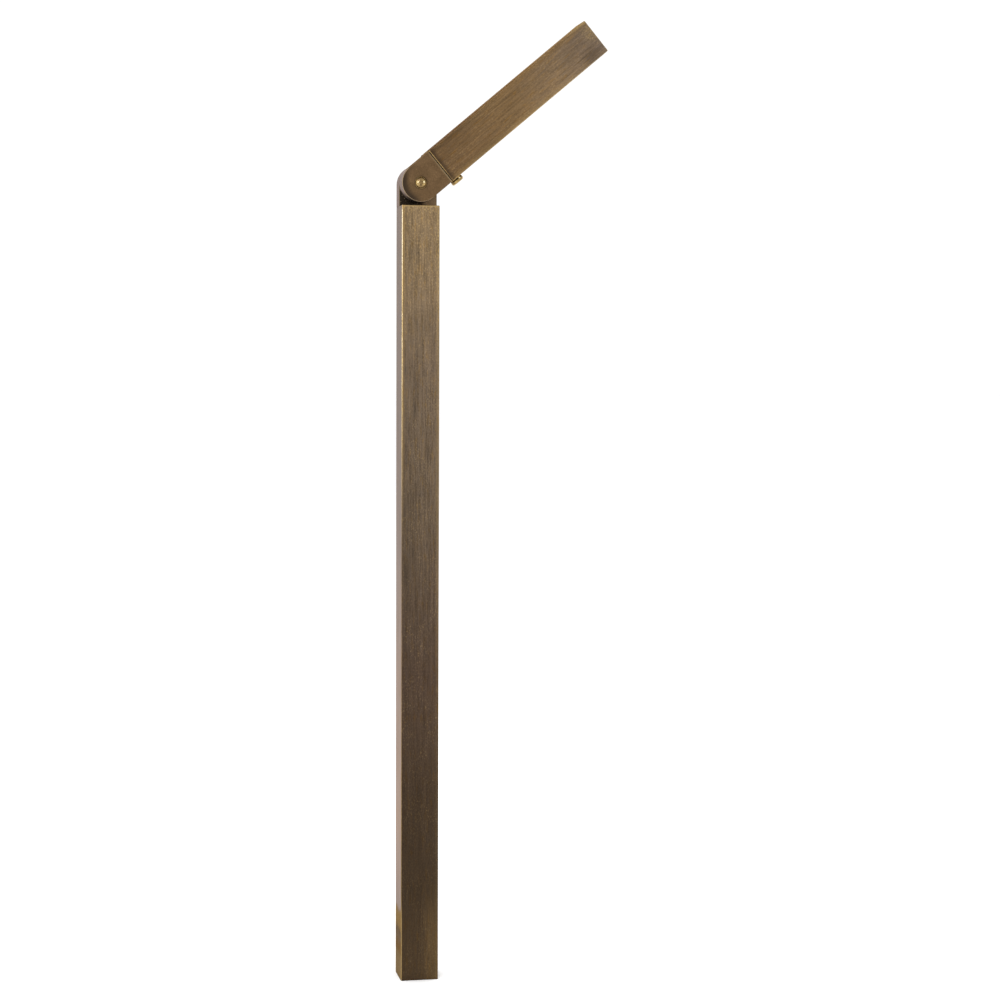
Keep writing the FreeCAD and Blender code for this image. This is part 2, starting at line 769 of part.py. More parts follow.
node(
    "lead_bush",
    cut(
        fuse(
            rod(bush_r - 0.03, "z", d.spigot_end + 0.02, plate_z + 0.5, 0.0, -d.lead_y),
            cone(bush_r + 0.5, bush_r - 0.3, "z", plate_z, plate_z + 1.4, 0.0, -d.lead_y),
        ),
        rod(d.lead_bore - 0.08, "z", d.spigot_end - 1, plate_z + 3, 0.0, -d.lead_y),
    ),
    True,
)

screws = []
for y in (-d.cs_y, d.cs_y):
    pan = fillet(
        rod(d.cs_head, "z", plate_z, plate_z + d.cs_h, d.cs_x, y),
        Q(0.7, "0.7"),
        lambda e: e.BoundBox.ZMin > (plate_z + d.cs_h).n - 0.01,
    )
    screws.append(
        cut(
            fuse(pan, rod(d.cs_r, "z", d.spigot_end - 5.5, plate_z + 0.5, d.cs_x, y)),
            hexagon(Q(1.3, "1.3"), "z", plate_z + d.cs_h - 1.1, plate_z + d.cs_h + 1, d.cs_x, y),
        )
    )
node("carrier_screws", group(*screws), True)

# board with holes for its screws and for the link from the driver
b = new_body("board_strip")
s = sketch(b, "YZ_Plane", d.web_lo)
rect(s, -d.board_w / 2, d.board_a, d.board_w / 2, d.board_b)
grow(b, s, d.board_t)
s = sketch(b, "YZ_Plane", d.web_lo)
disc(s, Q(1.7, "1.7"), link_z)
for z in screw_z:
    disc(s, d.bs_r + 0.1, z)
sink(b, s, d.board_t + 1, True)
node("led_board", b, True)

board_lo = d.web_lo + d.board_t
chips = []
for k in range(8):
    z = d.chip_a + d.chip_step * k
    c = d.chip_w / 2
    chips.append(
        cut(
            box(board_lo, board_lo + d.chip_t, -c, c, z - c, z + c),
            cone(1.0, 1.25, "x", board_lo + d.chip_t - 0.25, board_lo + d.chip_t, 0.0, z),
        )
    )
node("led_chips", group(*chips), True)

screws = []
for z in screw_z:
    pan = fillet(
        rod(d.bs_head, "x", board_lo, board_lo + d.bs_h, 0.0, z),
        Q(0.45, "0.45"),
        lambda e: e.BoundBox.XMin > (board_lo + d.bs_h).n - 0.01,
    )
    screws.append(
        cut(
            fuse(pan, rod(d.bs_r, "x", d.web_hi + 0.1, board_lo + 0.5, 0.0, z)),
            hexagon(Q(0.9, "0.9"), "x", board_lo + d.bs_h - 0.7, board_lo + d.bs_h + 1, 0.0, z),
        )
    )
node("board_screws", group(*screws), True)

# driver: potted block on a thermal pad, on the upper side of the web
pad_hi = d.web_hi - d.drv_pad
dw = d.drv_w / 2
node(
    "driver_pad",
    group(box(pad_hi, d.web_hi, -dw + 0.5, dw - 0.5, d.drv_a + 1, d.drv_b - 1)),
    True,
)
case = fillet(
    box(pad_hi - d.drv_t, pad_hi, -dw, dw, d.drv_a, d.drv_b),
    Q(0.8, "0.8"),
    lambda e: e.BoundBox.XLength > 5 or e.BoundBox.XMax < (pad_hi - d.drv_t).n + 0.01,
)
node("driver_module", group(case), True)

drop = 6.0
lead_node(
    "head_lead",
    [
        lead(
            [
                ((x, -ly, number("loop_r")), 0),
                ((x, -ly, 36.6), 4.0),
                ((x - drop, -ly, 41.6), 4.0),
                ((x - drop, -ly, number("drv_a")), 0),
            ],
            lr,
        )
        for x in (-lx, lx)
    ],
    True,
)
lead_node(
    "led_lead",
    [
        lead(
            [
                ((-5.5, y, number("drv_b")), 0),
                ((-5.5, y, link_z.n), 3.0),
                ((board_lo.n + 0.4, y, link_z.n), 0),
            ],
            0.6,
        )
        for y in (-0.75, 0.75)
    ],
    True,
)

# checks and files ------------------------------------------------------------------------
doc.recompute()
for o in doc.Objects:
    if "Invalid" in o.State or "Error" in o.State:
        raise RuntimeError("failed object: %s %s" % (o.Label, o.State))
os.makedirs("parts", exist_ok=True)
for o in NODES:
    if o.Shape.isNull() or not o.Shape.isValid() or not o.Shape.Solids:
        raise RuntimeError("bad shape: " + o.Label)
for o in NODES:
    o.Shape.exportStep("parts/%s.step" % o.Label)
    bb = o.Shape.BoundBox
    print(
        "%-18s solids %d  volume %9.1f  x %.2f %.2f  y %.2f %.2f  z %.2f %.2f"
        % (o.Label, len(o.Shape.Solids), o.Shape.Volume, bb.XMin, bb.XMax, bb.YMin, bb.YMax, bb.ZMin, bb.ZMax)
    )
print(len(NODES), "nodes")
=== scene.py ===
import math

import bmesh
import bpy
from mathutils import Matrix, Vector


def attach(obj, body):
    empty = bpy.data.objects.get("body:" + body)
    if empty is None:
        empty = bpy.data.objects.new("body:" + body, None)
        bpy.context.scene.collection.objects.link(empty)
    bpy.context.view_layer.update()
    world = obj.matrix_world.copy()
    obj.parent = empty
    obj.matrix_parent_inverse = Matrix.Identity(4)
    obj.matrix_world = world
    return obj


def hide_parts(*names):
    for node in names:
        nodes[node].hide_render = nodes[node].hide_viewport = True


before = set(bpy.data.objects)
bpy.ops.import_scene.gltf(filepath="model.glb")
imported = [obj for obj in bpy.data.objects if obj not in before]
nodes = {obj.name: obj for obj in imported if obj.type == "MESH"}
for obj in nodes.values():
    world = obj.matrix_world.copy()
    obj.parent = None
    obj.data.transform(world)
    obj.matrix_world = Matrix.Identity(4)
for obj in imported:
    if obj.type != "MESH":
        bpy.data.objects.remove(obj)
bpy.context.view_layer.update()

scene = bpy.context.scene

# Sizes in millimetres, as the frame has them. Head pieces are worked out in the head's own
# axes: pivot at the origin, +Z along the head, +X towards the lit underside.
MM = 0.001
PIVOT_Z = 535.6
TILT = math.radians(49.85)
HALF = 12.7
STEM = 520.7
HEAD = Matrix.Translation((0, 0, PIVOT_Z * MM)) @ Matrix.Rotation(TILT, 4, "Y")


# material building ---------------------------------------------------------------------
class Mat:
    """One principled material; constants sit on its own sockets."""

    def __init__(self, name, **const):
        self.m = bpy.data.materials.new(name)
        self.m.use_nodes = True
        self.t = self.m.node_tree
        self.t.nodes.clear()
        out = self.t.nodes.new("ShaderNodeOutputMaterial")
        self.p = self.t.nodes.new("ShaderNodeBsdfPrincipled")
        self.t.links.new(self.p.outputs[0], out.inputs["Surface"])
        for k, v in const.items():
            self.set(k.replace("_", " "), v)

    def set(self, socket, v):
        self.put(self.p.inputs[socket], v)

    def put(self, sock, v):
        if isinstance(v, bpy.types.NodeSocket):
            self.t.links.new(v, sock)
        elif isinstance(v, (tuple, list)) and len(v) == 3 and sock.type == "RGBA":
            sock.default_value = (*v, 1.0)
        else:
            sock.default_value = v

    def node(self, kind, **props):
        n = self.t.nodes.new(kind)
        for k, v in props.items():
            setattr(n, k, v)
        return n

    def coords(self, head=False):
        """Object coordinates in millimetres, in the post's or the head's own axes."""
        tc = self.node("ShaderNodeTexCoord")
        mp = self.node("ShaderNodeMapping", vector_type="TEXTURE")
        if head:
            mp.inputs["Location"].default_value = (0, 0, PIVOT_Z * MM)
            mp.inputs["Rotation"].default_value = (0, TILT, 0)
        mp.inputs["Scale"].default_value = (MM, MM, MM)
        self.t.links.new(tc.outputs["Object"], mp.inputs["Vector"])
        s = self.node("ShaderNodeSeparateXYZ")
        self.t.links.new(mp.outputs[0], s.inputs[0])
        return mp.outputs[0], s.outputs[0], s.outputs[1], s.outputs[2]

    def f(self, op, a, b=None, c=None, clamp=False):
        n = self.node("ShaderNodeMath", operation=op, use_clamp=clamp)
        for i, v in enumerate((a, b, c)):
            if v is not None:
                self.put(n.inputs[i], v)
        return n.outputs[0]

    def scale(self, vec, by):
        n = self.node("ShaderNodeVectorMath", operation="MULTIPLY")
        self.put(n.inputs[0], vec)
        n.inputs[1].default_value = by
        return n.outputs[0]

    def step(self, v, lo, hi):
        """Smooth 0 to 1 as v goes from lo to hi."""
        n = self.node("ShaderNodeMapRange", interpolation_type="SMOOTHSTEP", clamp=True)
        self.put(n.inputs[0], v)
        if lo <= hi:
            n.inputs[1].default_value, n.inputs[2].default_value = lo, hi
            n.inputs[3].default_value, n.inputs[4].default_value = 0.0, 1.0
        else:
            n.inputs[1].default_value, n.inputs[2].default_value = hi, lo
            n.inputs[3].default_value, n.inputs[4].default_value = 1.0, 0.0
        return n.outputs[0]

    def span(self, v, lo, hi, a, b):
        """Linear a to b as v goes from lo to hi."""
        n = self.node("ShaderNodeMapRange", clamp=True)
        self.put(n.inputs[0], v)
        for i, k in enumerate((lo, hi, a, b), 1):
            n.inputs[i].default_value = k
        return n.outputs[0]

    def noise(self, vec, by=(1, 1, 1), detail=2.0, rough=0.5, warp=0.0):
        n = self.node("ShaderNodeTexNoise")
        self.put(n.inputs["Vector"], self.scale(vec, by))
        n.inputs["Scale"].default_value = 1.0
        n.inputs["Detail"].default_value = detail
        n.inputs["Roughness"].default_value = rough
        n.inputs["Distortion"].default_value = warp
        return n.outputs[0]

    def cells(self, vec, by=(1, 1, 1), feature="F1", out="Distance"):
        n = self.node("ShaderNodeTexVoronoi", feature=feature)
        self.put(n.inputs["Vector"], self.scale(vec, by))
        n.inputs["Scale"].default_value = 1.0
        return n.outputs[out]

    def ramp(self, v, *stops):
        n = self.node("ShaderNodeValToRGB")
        e = n.color_ramp.elements
        e[0].position, e[0].color = stops[0][0], (*stops[0][1], 1)
        e[1].position, e[1].color = stops[-1][0], (*stops[-1][1], 1)
        for pos, col in stops[1:-1]:
            e.new(pos).color = (*col, 1)
        self.put(n.inputs[0], v)
        return n.outputs[0]

    def mix(self, fac, a, b, mode="MIX"):
        n = self.node("ShaderNodeMix", data_type="RGBA", blend_type=mode, clamp_factor=True)
        self.put(n.inputs[0], fac)
        self.put(n.inputs[6], a)
        self.put(n.inputs[7], b)
        return n.outputs[2]

    def shade(self, col, v):
        """Colour times a grey value."""
        n = self.node("ShaderNodeVectorMath", operation="SCALE")
        self.put(n.inputs[0], col)
        self.put(n.inputs["Scale"], v)
        return n.outputs[0]

    def bump(self, height, mm, strength=1.0, normal=None):
        n = self.node("ShaderNodeBump")
        n.inputs["Strength"].default_value = strength
        n.inputs["Distance"].default_value = mm * MM
        self.put(n.inputs["Height"], height)
        if normal is not None:
            self.put(n.inputs["Normal"], normal)
        return n.outputs[0]


def add(g, *terms):
    total = terms[0]
    for t in terms[1:]:
        total = g.f("ADD", total, t)
    return total


WORN = (0.80, 0.63, 0.36)
GOLD = (0.50, 0.345, 0.14)
TAN = (0.40, 0.30, 0.19)


def tube_brass(name, head):
    """Aged brass tube, brushed along its length, rubbed bright on the corners."""
    g = Mat(name, Metallic=1.0)
    P, x, y, z = g.coords(head)
    hair = g.noise(P, (3.2, 3.2, 0.05), 3.0, 0.6)
    line = g.noise(P, (1.1, 1.1, 0.045 if head else 0.06), 3.0, 0.6)
    wide = g.noise(P, (0.42, 0.42, 0.018), 3.0, 0.55)
    hue = g.noise(P, (0.8, 0.8, 0.12), 3.0, 0.6, 0.3)
    blot = g.noise(P, (0.07, 0.07, 0.03), 4.0, 0.6, 0.4)
    grit = g.noise(P, (1.4, 1.4, 0.8), 2.0, 0.7)
    if head:
        base = g.ramp(
            g.span(z, 17.5, 155.5, 0, 1),
            (0.0, (0.132, 0.079, 0.038)),
            (0.45, (0.182, 0.113, 0.053)),
            (0.75, (0.193, 0.130, 0.075)),
            (1.0, (0.145, 0.105, 0.074)),
        )
        upper = g.step(x, -12.3, -12.6)
        # lighter towards the lit underside: painted light
        base = g.shade(base, g.span(x, -12.7, 12.7, 0.92, 1.08))
        # the top strip and the band below it are darker near the seam and lighter and warmer towards the tip: painted
        # light and shade
        base = g.mix(upper, base, g.shade(base, g.span(z, 17.5, 117.5, 0.72, 0.98)))
        base = g.mix(upper, base, g.shade(base, g.span(z, 105, 145, 1.0, 1.11)))
        high = g.f("MULTIPLY", g.step(x, -8.0, -11.0), g.f("SUBTRACT", 1.0, upper))
        base = g.mix(high, base, g.shade(base, g.span(z, 39, 147, 0.86, 1.20)))
        base = g.mix(g.f("MULTIPLY", high, g.span(z, 70, 120, 0.0, 1.0)), base, g.mix(1.0, base, (0.97, 0.90, 0.74), "MULTIPLY"))
        # darker handling mark near the tip, on the lower side
        dx = g.f("MULTIPLY", g.f("SUBTRACT", x, 8.0), 0.7)
        dz = g.f("MULTIPLY", g.f("SUBTRACT", z, 143.8), 0.45)
        mark = g.f("SQRT", g.f("ADD", g.f("MULTIPLY", dx, dx), g.f("MULTIPLY", dz, dz)))
        mark = g.step(g.f("ADD", mark, g.f("MULTIPLY", g.f("SUBTRACT", line, 0.5), 4.0)), 5.0, 1.0)
        base = g.shade(base, g.span(mark, 0, 1, 1.0, 0.76))
    else:
        # darker towards the foot: partly patina, partly painted shade along the post
        base = g.ramp(
            g.span(z, 0, STEM, 0, 1),
            (0.0, (0.059, 0.038, 0.021)),
            (0.12, (0.0435, 0.0285, 0.0168)),
            (0.24, (0.0495, 0.0325, 0.0202)),
            (0.40, (0.072, 0.047, 0.032)),
            (0.62, (0.119, 0.085, 0.056)),
            (0.80, (0.146, 0.104, 0.068)),
            (0.93, (0.205, 0.143, 0.082)),
            (1.0, (0.217, 0.150, 0.083)),
        )
        # lighter towards the right: painted light
        base = g.shade(base, g.span(x, -12.7, 12.7, 0.94, 1.06))
        # darker on the left of the front face, part way up the post
        darker_patch = g.f("MULTIPLY", g.step(x, 0.0, -8.0), g.f("MULTIPLY", g.step(z, 350, 312), g.step(z, 215, 258)))
        base = g.shade(base, g.span(darker_patch, 0, 1, 1.0, 0.86))
        # the left face gets a lighter colour, darker towards the foot: painted reflection
        left = g.step(x, -12.52, -12.66)
        low = g.step(g.f("ADD", z, g.f("MULTIPLY", g.f("SUBTRACT", blot, 0.5), 14.0)), 49.8, 44.9)
        pale = g.mix(g.step(z, 58.5, 410), (0.21, 0.120, 0.050), (0.15, 0.106, 0.067))
        pale = g.shade(pale, g.span(z, 46, 104, 0.58, 0.96))
        # at the foot of the left face, bands of painted reflection with a ragged edge
        patch = g.noise(P, (0.05, 0.05, 0.17), 3.0, 0.65)
        ragged = g.noise(P, (0.17, 0.17, 0.10), 4.0, 0.7)
        reflection_level = add(g, z, g.f("MULTIPLY", g.f("SUBTRACT", patch, 0.5), 8.0), g.f("MULTIPLY", g.f("SUBTRACT", ragged, 0.5), 16.0))
        foot_reflection = g.ramp(
            g.span(reflection_level, 0, 46, 0, 1),
            (0.0, (0.176, 0.126, 0.070)),
            (0.34, (0.170, 0.122, 0.070)),
            (0.45, (0.129, 0.075, 0.032)),
            (0.60, (0.138, 0.100, 0.068)),
            (0.70, (0.098, 0.073, 0.053)),
            (0.80, (0.196, 0.132, 0.062)),
            (1.0, (0.214, 0.145, 0.068)),
        )
        foot_reflection = g.shade(foot_reflection, g.span(grit, 0.3, 0.7, 0.78, 1.22))
        base = g.mix(left, base, g.mix(low, pale, foot_reflection))
        reflection_zone = g.f("MULTIPLY", left, low)
        # warm, thinner patina at the foot, towards the right
        warm = g.f("MULTIPLY", g.step(z, 78, 24.5), g.step(g.f("ADD", x, g.f("MULTIPLY", g.f("SUBTRACT", line, 0.5), 14.0)), 0.0, 9.0))
        base = g.mix(g.f("MULTIPLY", warm, 0.55), base, (0.104, 0.065, 0.028))
    tone = add(
        g,
        g.span(hair, 0.25, 0.75, -0.14, 0.14),
        g.span(line, 0.25, 0.75, *((-0.25, 0.25) if head else (-0.30, 0.30))),
        g.span(wide, 0.25, 0.75, *((-0.08, 0.08) if head else (-0.20, 0.20))),
        g.span(grit, 0.25, 0.75, -0.20, 0.20),
        g.span(blot, 0.2, 0.8, 0.90, 1.10),
    )
    if head:
        # long streaks left by the brush, fainter towards the tip
        long = g.noise(P, (0.55, 0.55, 0.007), 3.0, 0.6)
        tone = g.f("ADD", tone, g.f("MULTIPLY", g.span(long, 0.25, 0.75, -0.13, 0.13), g.span(z, 85, 115, 1.0, 0.3)))
    if not head:
        # the streaks die out towards the foot, the grit less so
        lively = g.f("ADD", g.span(z, 70, 300, 0.42, 1.0), g.span(z, 400, 490, 0.0, 0.25))
        tone = g.f("ADD", g.f("MULTIPLY", g.f("SUBTRACT", tone, 1.0), lively), 1.0)
        tone = g.f("ADD", tone, g.f("MULTIPLY", g.span(grit, 0.25, 0.75, -0.20, 0.20), g.span(z, 70, 300, 0.45, 0.0)))
    col = g.shade(base, tone)
    # olive-grey and golden streaks in the patina
    col = g.mix(g.step(hue, 0.52, 0.72), col, g.mix(1.0, col, (1.10, 1.0, 0.76), "MULTIPLY"))
    col = g.mix(g.step(hue, 0.48, 0.28), col, g.mix(1.0, col, (0.92, 0.96, 1.05), "MULTIPLY"))
    # golden flecks where the patina is thin, dark pits where it is thick
    thin = g.f("MULTIPLY", g.step(blot, 0.40, 0.62), 0.22)
    if not head:
        thin = g.f("MULTIPLY", thin, g.span(z, 70, 300, 0.35, 1.0))
        thin = g.f("ADD", thin, g.f("MULTIPLY", g.step(z, 420, 517), 0.34))
    col = g.mix(g.f("MULTIPLY", g.step(grit, 0.56, 0.70), thin), col, GOLD)
    pit = g.step(g.noise(P, (1.7, 1.7, 1.3), 1.0, 0.5), 0.36, 0.26)
    col = g.mix(g.f("MULTIPLY", pit, 0.35), col, g.mix(1.0, col, (0.5, 0.5, 0.52), "MULTIPLY"))
    # rubbed corners; on the post's left corner they are also a painted highlight
    edge = g.f("MINIMUM", g.f("ABSOLUTE", x), g.f("ABSOLUTE", y))
    edge = g.f("ADD", edge, g.f("MULTIPLY", g.f("SUBTRACT", grit, 0.5), 0.35))
    rub_and_highlight = g.step(edge, 12.18, 12.38)
    if head:
        # painted shade on the upper front fillet, damping its highlight
        fillet = g.f("MULTIPLY", g.step(edge, 11.95, 12.3), g.step(x, -8.0, -11.0))
        col = g.shade(col, g.span(fillet, 0, 1, 1.0, 0.70))
        under = g.step(x, -2.0, 2.0)
        along = g.span(z, 19.5, 122, 0.06, 0.42)
        ending = g.span(z, 112, 140, 1.0, 0.25)
        col = g.mix(g.f("MULTIPLY", g.step(x, 8.0, 12.5), g.f("MULTIPLY", ending, 0.12)), col, GOLD)
        rub_and_highlight = g.f("MULTIPLY", rub_and_highlight, g.f("MULTIPLY", g.f("MULTIPLY", under, along), g.span(z, 118, 145, 1.0, 0.5)))
        # a darker band just past the seam, and a gold line on the tube's bevelled end: wear and a painted highlight,
        # fading towards the underside
        start = g.step(z, 18.12, 17.8)
        seam_dark = g.f("MULTIPLY", g.step(z, 21.7, 18.5), g.f("SUBTRACT", 1.0, start))
        col = g.mix(g.f("MULTIPLY", seam_dark, 0.60), col, (0.030, 0.020, 0.014))
        col = g.mix(g.f("MULTIPLY", start, g.span(x, 0, 11, 0.58, 0.06)), col, GOLD)
        rub_and_highlight = g.f("MAXIMUM", rub_and_highlight, g.f("MULTIPLY", g.step(z, 154.7, 155.2), 0.22))
        col = g.mix(rub_and_highlight, col, WORN)
        # worn specks by the end of the tip
        worn = g.f("MULTIPLY", g.step(z, 144.5, 153.5), g.f("MULTIPLY", g.step(x, -11.5, -7.5), g.step(x, 3.5, -3.0)))
        worn = g.f("MULTIPLY", worn, g.f("ADD", 0.13, g.f("MULTIPLY", g.step(grit, 0.52, 0.66), 0.3)))
        col = g.mix(worn, col, GOLD)
        crest = g.f("MULTIPLY", g.step(x, -10.4, -11.6), g.span(z, 138, 154, 0.0, 0.30))
        col = g.mix(crest, col, GOLD)
        tint = g.mix(upper, (0.50, 0.40, 0.29), (0.46, 0.34, 0.19))
    else:
        # on the post's left corner the bright line, the gold beside it and the faint gold lower down fade down the
        # post: wear and a painted highlight
        dash = g.noise(P, (0.05, 0.05, 0.22), 2.0, 0.6)
        fade = g.f("MULTIPLY", g.step(z, 278, 410), g.span(z, 390, 488, 0.90, 1.0))
        leftward = g.step(x, 2.0, -2.0)
        near = g.f("MULTIPLY", g.step(edge, 10.6, 11.3), g.f("MULTIPLY", leftward, g.f("MULTIPLY", fade, g.span(z, 440, 490, 0.20, 0.34))))
        col = g.mix(near, col, (0.40, 0.255, 0.085))
        # gold along the right edge, stronger up the post: specks, and a painted highlight on the corner
        speck = g.f("MULTIPLY", g.step(grit, 0.50, 0.60), g.span(z, 390, 488, 0.15, 0.75))
        band = g.f("MULTIPLY", g.step(x, 9.6, 12.3), g.f("ADD", 0.42, speck))
        right = g.f("MULTIPLY", g.f("MAXIMUM", rub_and_highlight, band), g.f("MULTIPLY", g.f("SUBTRACT", 1.0, leftward), g.f("ADD", g.span(z, 150, 330, 0.09, 0.335), g.span(z, 330, STEM, 0.0, 0.065))))
        col = g.mix(right, col, GOLD)
        # gold along the top edge of the front face only: wear and a painted highlight
        rim = g.f("MULTIPLY", g.step(z, STEM - 1.6, STEM - 0.3), 0.5)
        rim = g.f("MAXIMUM", rim, g.f("MULTIPLY", g.step(z, STEM - 6, STEM - 1), g.f("MULTIPLY", g.step(grit, 0.5, 0.62), 0.45)))
        col = g.mix(g.f("MULTIPLY", rim, g.step(y, -12.2, -12.5)), col, GOLD)
        wander = g.f("MULTIPLY", g.f("SUBTRACT", grit, 0.5), 0.3)
        rub_and_highlight = g.f(
            "MULTIPLY",
            g.step(g.f("ADD", g.f("ABSOLUTE", x), wander), 12.28, 12.48),
            g.step(g.f("ADD", g.f("ABSOLUTE", y), wander), 12.06, 12.26),
        )
        faint = g.f("MULTIPLY", rub_and_highlight, g.f("MULTIPLY", leftward, g.step(z, 322, 283)))
        col = g.mix(g.f("MULTIPLY", faint, g.span(z, 98, 270, 0.30, 0.10)), col, GOLD)
        rub_and_highlight = g.f("MULTIPLY", rub_and_highlight, g.f("MULTIPLY", g.f("MULTIPLY", fade, g.step(z, STEM - 0.8, STEM - 3.4)), leftward))
        bright = g.f("MAXIMUM", g.step(z, 457, 488), g.f("MULTIPLY", g.step(dash, 0.46, 0.60), g.step(z, 371, 459)))
        shiny = g.mix(g.step(z, 455, 492), WORN, (0.71, 0.60, 0.40))
        col = g.mix(rub_and_highlight, col, g.mix(bright, (0.60, 0.44, 0.20), shiny))
        col = g.mix(g.f("MULTIPLY", g.step(edge, 12.0, 12.3), g.f("MULTIPLY", g.step(z, 58.5, 39), g.f("MULTIPLY", leftward, 0.35))), col, GOLD)
        tint = g.mix(reflection_zone, (0.90, 0.85, 0.87), (0.56, 0.46, 0.36))
    g.set("Base Color", col)
    g.set("Specular Tint", tint)
    r = add(g, 0.28, g.f("MULTIPLY", hair, 0.12), g.f("MULTIPLY", blot, 0.14))
    if not head:
        r = g.f("ADD", r, g.f("MULTIPLY", reflection_zone, 0.2))
    g.set("Roughness", g.f("SUBTRACT", r, g.f("MULTIPLY", rub_and_highlight, 0.08)))
    h = add(g, g.f("MULTIPLY", hair, 0.5), g.f("MULTIPLY", line, 0.3), g.f("MULTIPLY", grit, 0.2))
    g.set("Normal", g.bump(h, 0.02, 0.55))
    return g.m


def cast_brass(name, head):
    """Fine-grained cast brass, browned all over and left dark in the recess, where the post's ear also gets a painted
    shadow and painted light.
    """
    g = Mat(name, Metallic=1.0)
    P, x, y, z = g.coords(head)
    grain = g.noise(P, (3.2, 3.2, 3.2), 3.0, 0.65)
    mid = g.noise(P, (1.1, 1.1, 1.1), 3.0, 0.65)
    blot = g.noise(P, (0.14, 0.14, 0.14), 3.0, 0.55, 0.5)
    tone = add(g, g.span(mid, 0.25, 0.75, -0.28, 0.28), g.span(blot, 0.2, 0.8, 0.84, 1.16))
    col = g.shade(g.mix(blot, (0.116, 0.070, 0.034), (0.140, 0.086, 0.043)), tone)
    fleck = g.step(mid, 0.62, 0.78)
    col = g.mix(g.f("MULTIPLY", fleck, 0.30), col, GOLD)
    if head:
        r = g.f("SQRT", g.f("ADD", g.f("MULTIPLY", x, x), g.f("MULTIPLY", z, z)))
        away = add(g, g.f("MULTIPLY", x, -0.27), g.f("MULTIPLY", z, -0.963))
        front = g.step(y, -11.9, -12.4)
        rim = g.f("MULTIPLY", front, g.f("MULTIPLY", g.step(r, 6.4, 11.2), g.step(away, 2.4, 9.5)))
        col = g.mix(g.f("MULTIPLY", rim, 0.88), col, (0.034, 0.024, 0.017))
        brow = g.f("MULTIPLY", front, g.f("MULTIPLY", g.step(x, -8.0, -11.6), g.f("MULTIPLY", g.step(z, -7.0, -2.0), g.span(z, 1.0, 7.0, 1.0, 0.3))))
        col = g.mix(g.f("MULTIPLY", brow, 0.30), col, (0.045, 0.031, 0.020))
        # painted shade on the face round the screw, and the counterbore's wall lightened: painted light
        near = g.f("MULTIPLY", g.step(r, 5.1, 4.4), front)
        col = g.mix(g.f("MULTIPLY", near, 0.30), col, (0.045, 0.031, 0.020))
        seat = g.f("MULTIPLY", g.step(r, 4.4, 4.25), g.step(y, -12.5, -12.3))
        col = g.mix(g.f("MULTIPLY", seat, 0.6), col, GOLD)
        # painted highlight along the flange's far edge, stronger on the lower half; it also lightens the spigot
        col = g.mix(g.f("MULTIPLY", g.step(z, 16.45, 16.8), g.span(x, -6, 6, 0.16, 0.34)), col, WORN)
        col = g.mix(g.f("MULTIPLY", g.step(z, 15.5, 16.2), g.span(x, -10, 2, 0.04, 0.085)), col, WORN)
        round_end = g.step(z, 1.5, -3.0)
        # outline of the round end: wear and a painted edge highlight; its flank gets a lighter colour: painted
        # reflection
        outline = g.f("MULTIPLY", round_end, g.f("MULTIPLY", g.step(r, 12.2, 12.45), g.step(y, -11.95, -12.15)))
        flank = g.f("MULTIPLY", round_end, g.f("MULTIPLY", g.step(r, 12.0, 12.4), g.step(y, -12.3, -12.0)))
        # dark only inside the half-lap, not on the outer faces or the spigot
        inner = g.f("MULTIPLY", g.step(y, -1.2, -0.3), g.f("MULTIPLY", g.step(y, 12.6, 12.4), g.step(z, 16.8, 16.4)))
        inner = g.f("MULTIPLY", inner, g.step(g.f("ABSOLUTE", x), 12.6, 12.4))
        col = g.mix(g.f("MULTIPLY", inner, 0.8), col, (0.030, 0.022, 0.016))
        pale = g.shade(g.mix(blot, (0.180, 0.136, 0.108), (0.210, 0.160, 0.128)), tone)
    else:
        up = g.f("MAXIMUM", g.f("SUBTRACT", z, PIVOT_Z), 0.0)
        r = g.f("SQRT", g.f("ADD", g.f("MULTIPLY", x, x), g.f("MULTIPLY", up, up)))
        # the face of the post's ear behind the head's ear: a painted shadow cast by that ear on the left, painted
        # light on the right
        face = g.f("MULTIPLY", g.step(y, 1.4, 0.5), g.step(z, STEM - 1.0, STEM))
        wander = g.f("ADD", x, g.f("MULTIPLY", g.f("SUBTRACT", mid, 0.5), 4.0))
        dark = g.f("MULTIPLY", face, g.f("MULTIPLY", g.step(wander, 4.5, 1.0), 0.95))
        lit = g.f("MULTIPLY", face, g.step(wander, 2.0, 5.0))
        col = g.mix(g.f("MULTIPLY", lit, 0.20), col, TAN)
        col = g.mix(dark, col, (0.022, 0.017, 0.013))
        chip = g.step(g.noise(P, (0.9, 0.9, 0.9), 1.0, 0.5), 0.66, 0.74)
        col = g.mix(g.f("MULTIPLY", chip, g.f("MULTIPLY", dark, 0.7)), col, TAN)
        # the post's ear: wear and a painted edge highlight on its inner left edge, and a lighter flank: painted
        # reflection
        outline = g.f("MULTIPLY", g.step(r, 12.15, 12.45), g.f("MULTIPLY", g.step(y, 1.0, 0.7), g.step(x, 2.0, -2.0)))
        flank = g.f("MULTIPLY", g.step(r, 12.0, 12.4), g.f("MULTIPLY", g.step(y, 0.7, 1.0), g.step(y, 12.4, 12.0)))
        pale = g.shade(g.mix(blot, (0.170, 0.124, 0.094), (0.198, 0.146, 0.111)), tone)
    col = g.mix(flank, col, pale)
    col = g.mix(g.f("MULTIPLY", outline, 0.55), col, TAN)
    g.set("Base Color", col)
    g.set("Specular Tint", g.mix(flank, (0.50, 0.42, 0.34), (0.80, 0.72, 0.72)))
    rough = add(g, 0.34, g.f("MULTIPLY", mid, 0.16), g.f("MULTIPLY", blot, 0.10))
    g.set("Roughness", g.f("SUBTRACT", rough, g.f("MULTIPLY", flank, 0.08)))
    h = add(g, g.f("MULTIPLY", grain, 0.5), g.f("MULTIPLY", mid, 0.5))
    g.set("Normal", g.bump(h, 0.06, 0.55))
    return g.m


